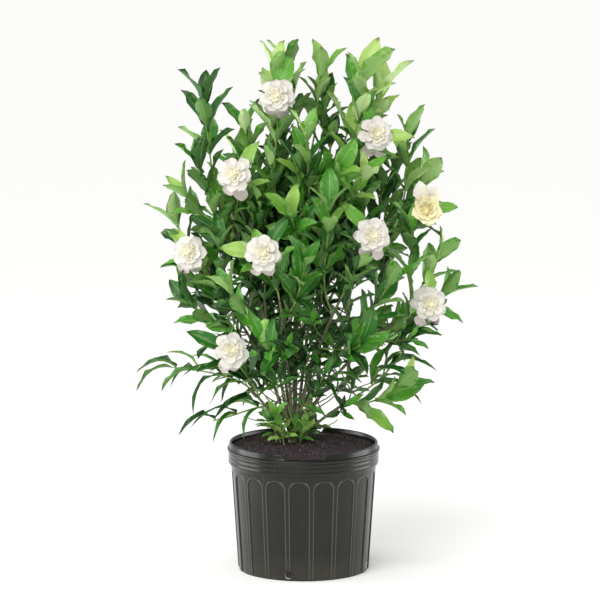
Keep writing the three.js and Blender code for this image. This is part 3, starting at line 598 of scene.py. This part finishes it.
wood = dict(
    radius=3.1, endShare=0.72, step=7, sides=9, knot=0.22, knotPitch=42, wobble=0.35, wobbleGrain=60.0,
    crown=((181, 11), (222, 12), (236, 11), (242, 7)))  # height and radius, from inside the potting mix up
twig = dict(
    radius=1.9, tipRadius=1.4, samples=18, sides=6,
    calyx=((9, 1.4), (6, 2.3), (2.7, 3.8), (0, 4)))  # distance from the flower and radius
# open is how far leaves lean out at the tip, and how much more at each whorl below, in degrees
leaf = dict(
    length=78, widthShare=0.37, pitch=42, fromTip=5, fromCalyx=8, bareFoot=8, open=(22, 9),
    openUnderFlower=(66, -14), highTiers=3, highFrom=660, sag=(0.04, 0.16), archedSag=(0.2, 0.65))
usualLeaf = dict(large=1, slim=1, arched=False)
sepal = dict(count=6, length=19, width=3.6, out=3, below=2, rise=0.45)


class Way:
    # a Bezier curve by share of its length, with a steady frame along it
    steps, turns = 200, 60  # how finely its length and its frame are measured

    def __init__(self, *corners):
        self.corners = [Vector(corner) for corner in corners]
        self.reach = [0]
        spots = [self.spot(i / self.steps)[0] for i in range(self.steps + 1)]
        for a, b in zip(spots, spots[1:]):
            self.reach.append(self.reach[-1] + (b - a).length)
        self.length = self.reach[-1]
        axes = [self.at(k / self.turns)[1] for k in range(self.turns + 1)]
        least = min(range(3), key=lambda k: (abs(axes[0][k]), -k))
        normal = axes[0].cross(axes[0].cross(Vector([k == least for k in range(3)])).normalized())
        self.frames = []
        for before, axis in zip(axes[:1] + axes, axes):
            normal = before.rotation_difference(axis) @ normal
            self.frames.append((axis, normal, axis.cross(normal)))

    def spot(self, t):
        row = self.corners
        while len(row) > 2:
            row = [a.lerp(b, t) for a, b in zip(row, row[1:])]
        return row[0].lerp(row[1], t), (row[1] - row[0]).normalized()

    def at(self, share):
        target = min(1, max(0, share)) * self.length
        i = next(k for k in range(self.steps) if self.reach[k + 1] >= target or k == self.steps - 1)
        return self.spot((i + (target - self.reach[i]) / (self.reach[i + 1] - self.reach[i])) / self.steps)

    def frame(self, share):
        return (self.at(share)[0], *self.frames[round(min(1, max(0, share)) * self.turns)])


def stemWay(stem, ways):
    tip = Vector(stem["end"])
    if "fork" in stem:
        name, share = stem["fork"]
        foot, lead = ways[name].at(share)
        return Way(foot, foot + lead * 0.3 * (tip - foot).length, tip)
    away = tip - crown
    foot = crown + Vector((away.x, away.y, 0)).normalized() * 5
    low = 0.42 if away.z < 150 else 0.24  # the lowest stems lean out at once
    bend = foot + Vector((low * away.x, low * away.y, 0.52 * away.z))
    return Way((foot.x, foot.y, crown.z - 4), bend, tip)


def shootWay(stem, shoot):
    # it leaves its stem, heads for its tip and turns up, or towards the way its flower faces
    start, lead = stem.at(shoot["at"])
    end = Vector(shoot["tip"])
    length = (end - start).length
    heading = (end - start).normalized()
    leave = lead if shoot["at"] == 1 else square(heading, lead) * 0.8 + lead * 0.6
    arrive = Vector(shoot["face"]) if "face" in shoot else heading + up * shoot.get("rise", 0.5)
    return Way(start, start + leave * 0.3 * length, end - arrive.normalized() * 0.32 * length, end)


def strand(way, steps, radii, years):  # points along a curve, each with its thickness and its age
    shares = [k / steps for k in range(steps + 1)]
    return [(way.at(share)[0], lerp(*radii, share), lerp(*years, share)) for share in shares]


def addWhorl(leaves, way, share, turn, open, draw, age, shoot):
    # Three leaves round a twig. One number picks a leaf's shape, from the straightest to the most bent, and
    # moves its age, so that bent leaves are the older ones.
    point, axis, n, b = way.frame(share)
    large, slim, arched = (shoot.get(key, usual) for key, usual in usualLeaf.items())
    for side in range(3):
        bearing = turn + (side + 0.5) * fullTurn / 3
        away = n * math.cos(bearing) + b * math.sin(bearing)
        angle = math.radians(min(74, open + 10 * (draw() - 0.5)))
        ahead = axis * math.cos(angle) + away * math.sin(angle)
        length = leaf["length"] * large * (0.78 + 0.44 * draw())
        width = length * leaf["widthShare"] * slim * (0.88 + 0.24 * draw())
        bent = draw()
        leaves.append(dict(
            foot=point + away * twig["radius"] / 2, along=ahead, upper=square(up if arched else axis, ahead),
            length=length, width=width, sag=lerp(*leaf["archedSag" if arched else "sag"], bent),
            kind=int(bent * 9.99) + 10 * arched, age=age + 0.75 * (bent - 0.5)))


def youth(place, tier, fresh=0):  # 0 for the newest leaves, high and at the tips, to 1 for the oldest
    return 0.66 - 0.3 * smooth((place.z - 380) / 500) + 0.06 * tier - 0.36 * fresh * (1 - 0.3 * min(tier, 3))


def addShoot(shoot, way, seed, seat, leaves, twigs, blooms):
    # a twig, its whorls of leaves from the tip down, its flower and its lesser shoot
    draw = stream(seed)
    flowers = "face" in shoot
    calyxLength = twig["calyx"][0][0]
    start = fullTurn * draw()
    tier = 0
    while True:
        fromTip = (calyxLength + leaf["fromCalyx"] if flowers else leaf["fromTip"]) + tier * leaf["pitch"]
        if way.length - fromTip - seat < leaf["bareFoot"]:
            break
        share = 1 - fromTip / way.length
        place = way.at(share)[0]
        open, more = leaf["openUnderFlower" if flowers else "open"]
        if tier < leaf["highTiers"] or place.z < leaf["highFrom"]:  # the highest shoots are bare lower down
            addWhorl(leaves, way, share, start + tier * math.pi / 3, open + more * tier, draw,
                     youth(place, tier, shoot.get("fresh", 0)), shoot)
        tier += 1
    line = strand(way, twig["samples"], (twig["radius"], twig["tipRadius"]), (0.3, 0))
    if flowers:
        line = [spot for spot in line if (spot[0] - way.at(1)[0]).length > calyxLength]
        line += [(way.at(1 - back / way.length)[0], radius, 0) for back, radius in twig["calyx"]]
        end, axis = way.frame(1)[:2]
        blooms.append(dict(foot=end + axis * clearance, axis=axis, open=shoot.get("open", 1), seed=seed))
        addSepals(leaves, blooms[-1])
    twigs.append(line)
    if "side" in shoot:
        addShoot(shoot["side"], shootWay(way, shoot["side"]), seed + 50, 0, leaves, twigs, blooms)


def addSepals(leaves, bloom):
    stand = up.rotation_difference(bloom["axis"])
    for k in range(sepal["count"]):
        away = stand @ outward(k * fullTurn / sepal["count"])
        ahead = (away + bloom["axis"] * sepal["rise"]).normalized()
        foot = bloom["foot"] + away * sepal["out"] - bloom["axis"] * sepal["below"]
        leaves.append(dict(
            foot=foot, along=ahead, upper=square(bloom["axis"], ahead), length=sepal["length"],
            width=sepal["width"], sag=0, kind=4, age=0.3, sepal=True))


# Lesser shoots fill the inside of the crown with older leaves. Low down they are thin, some with long
# arching leaves, and at last bare.
high = dict(
    above=450, step=24, length=(62, 128), rise=2.2, tiers=3, pitch=34, large=0.84, slim=0.92, open=20)
low = dict(
    above=296, step=25, length=(50, 120), rise=0.7, tiers=2, pitch=24, large=0.56, slim=0.72, open=36,
    archedShare=0.16)
lowArched = dict(large=0.84, slim=0.5, arched=True)
spurs = dict(
    first=0.12, last=0.97, sparseFrom=640, radius=(1.5, 0.8), years=(0.8, 0.1), fromTip=4, bareFoot=10,
    more=10, seed=900)


def addSpurs(way, draw, leaves, twigs, number):
    place = spurs["first"] * way.length
    while place < spurs["last"] * way.length:
        start, axis, n, b = way.frame(place / way.length)
        kind = high if start.z > high["above"] else low
        place += kind["step"] * (0.75 + 0.5 * draw()) * (2 if start.z > spurs["sparseFrom"] else 1)
        number += 1
        bearing = number * goldenAngle
        away = n * math.cos(bearing) + b * math.sin(bearing)
        length = lerp(*kind["length"], draw())
        end = start + (away + up * kind["rise"]).normalized() * length
        short = Way(start, start + away * 0.4 * length, end)
        twigs.append(strand(short, 6, spurs["radius"], spurs["years"]))
        old = 0.1 + 0.25 * draw()
        shoot = lowArched if kind is low and draw() < low["archedShare"] else kind
        for tier in range(kind["tiers"] if start.z > low["above"] else 0):
            share = 1 - (spurs["fromTip"] + kind["pitch"] * tier) / short.length
            if share * short.length > spurs["bareFoot"]:
                open = kind["open"] + spurs["more"] * tier
                addWhorl(leaves, short, share, number + tier * math.pi / 3, open, draw,
                         youth(start, tier) + old, shoot)
    return number


# Small green suckers stand round the crown, just over the potting mix.
suckers = dict(
    count=13, reach=(8, 40), height=(16, 48), spread=26, sunk=12, tiers=3, pitch=13, open=(38, 14), large=0.4,
    slim=1.25, age=0.4, radius=(1.3, 0.8), seed=77)


def addSuckers(leaves, twigs):
    draw = stream(suckers["seed"])
    for k in range(suckers["count"]):
        away, sunk = outward(k * goldenAngle), suckers["sunk"]
        foot = crown + away * lerp(*suckers["reach"], draw()) - up * sunk
        tip = foot + away * suckers["spread"] * draw() + up * (sunk + lerp(*suckers["height"], draw()))
        way = Way(foot, foot + up * 14, tip)
        twigs.append(strand(way, 6, suckers["radius"], (0.1, 0.1)))
        open, more = suckers["open"]
        for tier in range(suckers["tiers"]):
            share = 1 - (2 + suckers["pitch"] * tier) / way.length
            addWhorl(
                leaves, way, share, tier * math.pi / 3, open + more * tier, draw, suckers["age"], suckers)


def growPlant():
    ways, sprays, blooms, stemLines, twigLines = {}, {}, [], [], []
    for s, (name, stem) in enumerate(stems.items()):
        way = ways[name] = stemWay(stem, ways)
        sprays[name] = []
        thick = stem.get("radius", wood["radius"] * (0.85 if "fork" in stem else 1))
        count = round(way.length / wood["step"])
        line = []
        for k in range(count + 1):
            knot = 1 + wood["knot"] * max(0, math.cos(k * wood["step"] * fullTurn / wood["knotPitch"])) ** 8
            radius = thick * lerp(1, wood["endShare"], k / count) * knot
            line.append((way.at(k / count)[0], radius, lerp(1.1, 0.75, k / count)))
        stemLines.append(line)
        for k, shoot in enumerate(stem["shoots"]):
            seat = clearance if shoot["at"] == 1 else thick + 0.5
            addShoot(shoot, shootWay(way, shoot), 100 * (s + 1) + k, seat, sprays[name], twigLines, blooms)
    number, draw = 0, stream(spurs["seed"])
    for name, way in ways.items():
        number = addSpurs(way, draw, sprays[name], twigLines, number)
    addSuckers(sprays["trunk"], twigLines)
    stemLines.append([(Vector((crown.x, crown.y, height)), radius, 1.2) for height, radius in wood["crown"]])
    return sprays, blooms, stemLines, twigLines


# Leaves keep clear of the room round each open flower, given from, to and how wide along its axis, and of
# the pot's lip and the potting mix.
bloomRoom = ((3, 24, 35), (24, 110, 27))
lipRoom = dict(radius=122, above=3, soilRadius=132, aboveSoil=2)
fit = dict(margin=1.5, attempts=5, shrink=0.97)


def leafSpots(each):  # points on a leaf, to tell what it meets
    across = each["upper"].cross(each["along"])
    for u, v in ((0.2, 0), (0.45, 0.8), (0.45, -0.8), (0.7, 0.7), (0.7, -0.7), (0.85, 0), (1, 0)):
        rise = (0.05 * math.sin(math.pi * u) - each["sag"] * u * u) * each["length"]
        side = across * v * each["width"] / 2
        yield each["foot"] + each["along"] * u * each["length"] + side + each["upper"] * rise


def clears(each, blooms):
    for spot in leafSpots(each):
        for bloom in [] if "sepal" in each else blooms:
            offset = spot - bloom["foot"]
            height = offset.dot(bloom["axis"])
            side = (offset - bloom["axis"] * height).length
            if any(start < height <= end and side < wide for start, end, wide in bloomRoom):
                return False
        far = math.hypot(spot.x, spot.y)
        if far > lipRoom["radius"] and spot.z < pot["height"] + lipRoom["above"]:
            return False
        if far < lipRoom["soilRadius"] and spot.z < soilHeight(spot.x, spot.y) + lipRoom["aboveSoil"]:
            return False
    return True


def fitInside(each):  # a leaf that reaches past the solids is shortened a little
    least, most = (corner / mm for corner in cadBox)
    for _ in range(fit["attempts"]):
        spots = [spot[k] - least[k] for spot in leafSpots(each) for k in range(3)]
        spots += [most[k] - spot[k] for spot in leafSpots(each) for k in range(3)]
        if min(spots) > fit["margin"]:
            return True
        each["length"] *= fit["shrink"]
    return False


# A blade is one leaf or petal, 1 long: x runs from stalk to tip, y is 1 at its widest edge, z is up.
leafBlade = dict(
    rows=(0, 0.07, 0.2, 0.36, 0.52, 0.68, 0.82, 0.92, 1), columns=2, thickness=0.009, outline=(
        (0, 0.05), (0.08, 0.13), (0.26, 0.62), (0.44, 0.95), (0.58, 1), (0.74, 0.84), (0.9, 0.36), (1, 0)))
petalBlade = dict(
    rows=(0, 0.12, 0.3, 0.5, 0.68, 0.82, 0.92, 0.98, 1), columns=3, thickness=0.022, outline=(
        (0, 0.3), (0.2, 0.45), (0.48, 0.86), (0.66, 1), (0.84, 0.86), (0.95, 0.46), (1, 0)))


def bladeMesh(name, blade, fold=0, cup=0, arch=0, sag=0, twist=0, wave=0, waves=3, phase=0, point=1):
    # point over 1 narrows the blade towards its ends, and under 1 rounds it off
    columns, last = blade["columns"], len(blade["rows"]) - 1
    points, flats, corners = [], [], {}

    def corner(k, j, side):
        # both faces share the rim, the foot and the tip
        key = (k if k == last else (k, j, side if 0 < k and abs(j) < columns else 0))
        if key not in corners:
            u, v = blade["rows"][k], j / columns if k < last else 0
            swell = math.sin(math.pi * u)
            z = fold * abs(v) + cup * v * v * swell + arch * swell - sag * u ** 2.2 + twist * u * v
            z += wave * v * v * math.sin(fullTurn * (waves * u + phase))
            z += side * blade["thickness"] / 2 * (1 - v ** 4) * min(1, 8 * u, 8 * (1 - u))
            corners[key] = len(points)
            points.append((u, v * between(blade["outline"], u) ** point, z))
            flats.append((u, (v + 1) / 2))
        return corners[key]

    faces, under = [], []
    for side in (1, -1):
        for k in range(last):
            for j in range(-columns, columns):
                spots = (k, j), (k + 1, j), (k + 1, j + 1), (k, j + 1)
                loop = list(dict.fromkeys(corner(*spot, side) for spot in spots[::side]))
                faces.append(loop)
                under.append(side < 0)
    mesh = hostMesh(name, points, faces=faces)
    layer = mesh.uv_layers.new(name="UVMap")
    layer.data.foreach_set("uv", [x for loop in mesh.loops for x in flats[loop.vertex_index]])
    mesh.attributes.new("under", "FLOAT", "FACE").data.foreach_set("value", under)
    return mesh


def bladeShelf(name, meshes):  # a collection outside the scene, whose blades are picked by number
    shelf = bpy.data.collections.new(name)
    for k, mesh in enumerate(meshes):
        shelf.objects.link(bpy.data.objects.new(f"{name}.{k:02d}", mesh))
    return shelf


def leafShapes():
    # ten sag more and more, and ten narrow ones arch over
    draw = stream(41)
    for k in range(20):
        arched = k >= 10
        yield bladeMesh(
            f"leaf.{k:02d}", leafBlade, fold=0.04 + 0.03 * draw(), cup=0.03 * draw(),
            sag=lerp(*leaf["archedSag" if arched else "sag"], k % 10 / 10), arch=0.05 + 0.1 * arched,
            twist=0.1 * (draw() - 0.5), wave=0.015 + 0.03 * draw(), waves=2.5, phase=draw())


def petalShapes():
    # four that lie back, four that lift, and four that cup round the heart
    draw = stream(43)
    for k in range(12):
        cup, arch, sag = ((0.05, 0.05, 0.1), (0.2, -0.02, 0.06), (0.5, -0.12, 0.16))[k // 4]
        yield bladeMesh(
            f"petal.{k:02d}", petalBlade, fold=0.02, cup=cup * (0.8 + 0.4 * draw()), arch=arch,
            sag=sag * (0.7 + 0.6 * draw()), twist=0.2 * (draw() - 0.5), wave=0.05 + 0.05 * draw(), waves=2.2,
            phase=draw(), point=0.65 + 0.8 * draw())


def bladeTree():
    tree, given = startTree("blades on their stalks", {"Shapes": "Collection", "Finish": "Material"})
    facts = {name: addNode(tree, "GeometryNodeInputNamedAttribute", [name], data_type="FLOAT_VECTOR")
             for name in ("along", "upper", "size")}
    kind = addNode(tree, "GeometryNodeInputNamedAttribute", ["kind"], data_type="FLOAT")
    shapes = addNode(tree, "GeometryNodeCollectionInfo", {
        "Collection": given["Shapes"], "Separate Children": True, "Reset Children": True})
    axes = {"Primary Axis": facts["along"], "Secondary Axis": facts["upper"]}
    turn = addNode(tree, "FunctionNodeAxesToRotation", axes, primary_axis="X", secondary_axis="Z")
    number = addNode(tree, "FunctionNodeFloatToInt", [kind])
    placed = addNode(tree, "GeometryNodeInstanceOnPoints", {
        "Points": given["Geometry"], "Instance": shapes, "Pick Instance": True, "Instance Index": number,
        "Rotation": turn, "Scale": facts["size"]})
    return endTree(tree, placed, given["Finish"])


def strandTree():
    tree, given = startTree("strands with their own thickness", {
        "Sides": "Int", "Wobble": "Float", "Grain": "Float", "Finish": "Material"})
    curves = addNode(tree, "GeometryNodeMeshToCurve", [given["Geometry"]])
    section = addNode(tree, "GeometryNodeCurvePrimitiveCircle", {"Resolution": given["Sides"], "Radius": 1})
    thick = addNode(tree, "GeometryNodeInputNamedAttribute", ["thick"], data_type="FLOAT")
    tubes = addNode(tree, "GeometryNodeCurveToMesh", {
        "Curve": curves, "Profile Curve": section, "Scale": thick, "Fill Caps": True})
    rough = addNode(tree, "ShaderNodeTexNoise", {"Scale": given["Grain"], "Detail": 1})
    centred = addNode(tree, "ShaderNodeMath", [rough.outputs[0], 0.5], operation="SUBTRACT")
    swell = addNode(tree, "ShaderNodeMath", [centred, given["Wobble"]], operation="MULTIPLY")
    normal = addNode(tree, "GeometryNodeInputNormal")
    offset = addNode(tree, "ShaderNodeVectorMath", {0: normal, "Scale": swell}, operation="SCALE")
    knobbly = addNode(tree, "GeometryNodeSetPosition", {0: tubes, "Offset": offset})
    return endTree(tree, knobbly, given["Finish"])


def strandHost(lines):
    points, edges, thick, age = [], [], [], []
    for line in lines:
        edges += [(len(points) + k, len(points) + k + 1) for k in range(len(line) - 1)]
        for place, radius, years in line:
            points.append(place * mm)
            thick.append(radius * mm)
            age.append(years)
    return hostMesh("strands", points, edges=edges, thick=thick, age=age)


def bladeHost(blades):
    return hostMesh(
        "stalks", [each["foot"] * mm for each in blades], along=[each["along"] for each in blades],
        upper=[each["upper"] for each in blades], kind=[float(each["kind"]) for each in blades],
        age=[min(1, max(0, each["age"])) for each in blades],
        size=[Vector((each["length"], each["width"] / 2, each["length"])) * mm for each in blades])


# A double flower in its own frame: it stands on the origin and looks along +z. Its rings of petals go from
# the back to the heart; lift is in degrees from flat, more where the flower is half open.
bloomRadius = 36
petalRings = [
    # the back ring's low age gives it the pinkish-grey of painted shade
    dict(count=5, height=4, core=5, length=1, lift=-10, width=0.7, kind=0, turn=0.5, age=0.08),
    dict(count=7, height=6, core=5.6, length=0.98, lift=4, width=0.78, kind=0, turn=0, age=0.12),
    dict(count=6, height=9.5, core=6, length=0.72, lift=18, width=0.9, kind=4, turn=0.5, age=0.2),
]
heart = dict(
    count=14, height=(10, 15), core=(6.6, -1), length=(14, 8.5), lift=(24, 50), width=(15, 11),
    age=(0.4, 0.68), kind=8)
# Two more petals hang below an open flower, in a painted pinkish-grey shade, and stand up behind a half-open
# one.
below = dict(height=3.4, core=4, length=46, width=24, lift=-28, kind=0, age=0)
behind = dict(height=5, core=4, length=50, width=30, lift=-22, kind=4, age=0.3)
extraTurns = (-0.45, 0.3)


def bloomPetals(bloom):
    draw = stream(bloom["seed"])
    stand = up.rotation_difference(bloom["axis"])
    closed = 1 - bloom["open"]
    petals = []

    def addPetal(bearing, height, core, length, width, lift, kind, age):
        angle = math.radians(lift + closed * (60 - 0.6 * lift) + 7 * (draw() - 0.5))
        away = outward(bearing)
        ahead = away * math.cos(angle) + up * math.sin(angle)
        upper = away * -math.sin(angle) + up * math.cos(angle)
        petals.append(dict(
            foot=bloom["foot"] + stand @ (away * core + up * height), along=stand @ ahead,
            upper=stand @ upper, length=length * (0.84 + 0.22 * draw()), width=width * (0.9 + 0.2 * draw()),
            kind=kind + int(4 * draw()), age=age))

    # petals of a half-open flower are still yellow, all but the two that stand behind it
    furled = 1.3 * closed
    for ring in petalRings:
        length = (bloomRadius - ring["core"]) * ring["length"]
        for i in range(ring["count"]):
            bearing = (ring["turn"] / 6 + (i + 0.5) / ring["count"]) * fullTurn - math.pi / 2
            addPetal(bearing + 0.3 * (draw() - 0.5), ring["height"], 0.85 * ring["core"], length,
                     ring["width"] * length, ring["lift"], ring["kind"], ring["age"] + furled)
    for i in range(heart["count"]):
        share = i / (heart["count"] - 1)
        height, core, length, width, lift, age = (
            lerp(*heart[key], share) for key in ("height", "core", "length", "width", "lift", "age"))
        addPetal(i * goldenAngle, height, core, length, width, lift, heart["kind"], age + furled)
    crest = stand.inverted() @ (up if closed else -up)
    for turn in extraTurns:
        addPetal(math.atan2(crest.y, crest.x) + turn, **(behind if closed else below))
    return petals


sprays, blooms, stemLines, twigLines = growPlant()
print("plan drawn:", sum(map(len, sprays.values())), "leaves and", len(blooms), "flowers")

strands, blades = strandTree(), bladeTree()
stemPiece = growPiece("bark_stems", strandHost(stemLines), strands, {
    "Sides": wood["sides"], "Wobble": wood["wobble"] * mm, "Grain": wood["wobbleGrain"], "Finish": bark})
settle(stemPiece, ["woody_stems"])
twigPiece = growPiece("green_twigs", strandHost(twigLines), strands, {
    "Sides": twig["sides"], "Wobble": 0.0, "Grain": 1.0, "Finish": bark})
settle(twigPiece, [])
print("stems and twigs grown")

leafShelf = bladeShelf("leaf shapes", leafShapes())
first = 1
for name, spray in sprays.items():
    kept = [each for each in spray if fitInside(each) and clears(each, blooms)]
    leafy = growPiece("leaves_" + name, bladeHost(kept), blades, {"Shapes": leafShelf, "Finish": leafGreen})
    count = len(stems[name]["shoots"])
    settle(leafy, [f"leafy_shoot_{k:02d}" for k in range(first, first + count)])
    first += count
    print("leaves on", name + ":", len(kept), "of", len(spray))

petalShelf = bladeShelf("petal shapes", petalShapes())
for k, bloom in enumerate(blooms, 1):
    flower = growPiece(f"flower_{k:02d}", bladeHost(bloomPetals(bloom)), blades, {
        "Shapes": petalShelf, "Finish": petalWhite})
    settle(flower, [f"bloom_{k:02d}"])
for shelf in (leafShelf, petalShelf):
    for each in list(shelf.objects):
        bpy.data.objects.remove(each)
    bpy.data.collections.remove(shelf)
print("flowers opened")

# A plain pale studio: a floor that runs out of sight, a bright room and three soft lights.
view = dict(distance=12, elevation=10.2, field=1.098, aim=(-0.0065, 0, 0.501), farthest=100)
room = dict(floor=60, colour="#ffffff", strength=0.62)
lights = [
    dict(name="left side", kind="AREA", place=(-1.9, 0.1, 0.6), settings=dict(size=1.5, energy=30)),
    dict(name="right side", kind="AREA", place=(1.9, 0.3, 0.55), settings=dict(size=1.3, energy=20)),
    dict(name="upper front left", kind="SUN", place=(-1.9065, -4.4, 4.901),
         settings=dict(angle=math.radians(50), energy=1.92)),
]
aim = Vector(view["aim"])


def standUp(data, place):  # a lamp or a camera that looks at the middle of the plant
    holder = bpy.data.objects.new(data.name, data)
    holder.location = place
    holder.rotation_euler = (aim - holder.location).to_track_quat("-Z", "Y").to_euler()
    visible.objects.link(holder)
    return holder


bpy.ops.mesh.primitive_plane_add(size=room["floor"])
floor = bpy.context.object
floor.name = "studio_floor"
paper, _ = startMaterial("matt white paper", Base_Color=linear("#fafaf8"), Roughness=0.9)
floor.data.materials.append(paper)

for each in lights:
    lamp = bpy.data.lights.new(each["name"], each["kind"])
    for key, value in each["settings"].items():
        setattr(lamp, key, value)
    standUp(lamp, each["place"])

world = bpy.data.worlds.new("bright room")
world.use_nodes = True
sky = world.node_tree.nodes["Background"]
sky.inputs["Color"].default_value = linear(room["colour"])
sky.inputs["Strength"].default_value = room["strength"]
bpy.context.scene.world = world
bpy.context.scene.view_settings.view_transform = "Standard"

angle = math.radians(view["elevation"])
place = aim + Vector((0, -math.cos(angle), math.sin(angle))) * view["distance"]
camera = standUp(bpy.data.cameras.new("camera"), place)
camera.data.lens = camera.data.sensor_width * view["distance"] / view["field"]
camera.data.clip_end = view["farthest"]
bpy.context.scene.camera = camera
print("studio set")
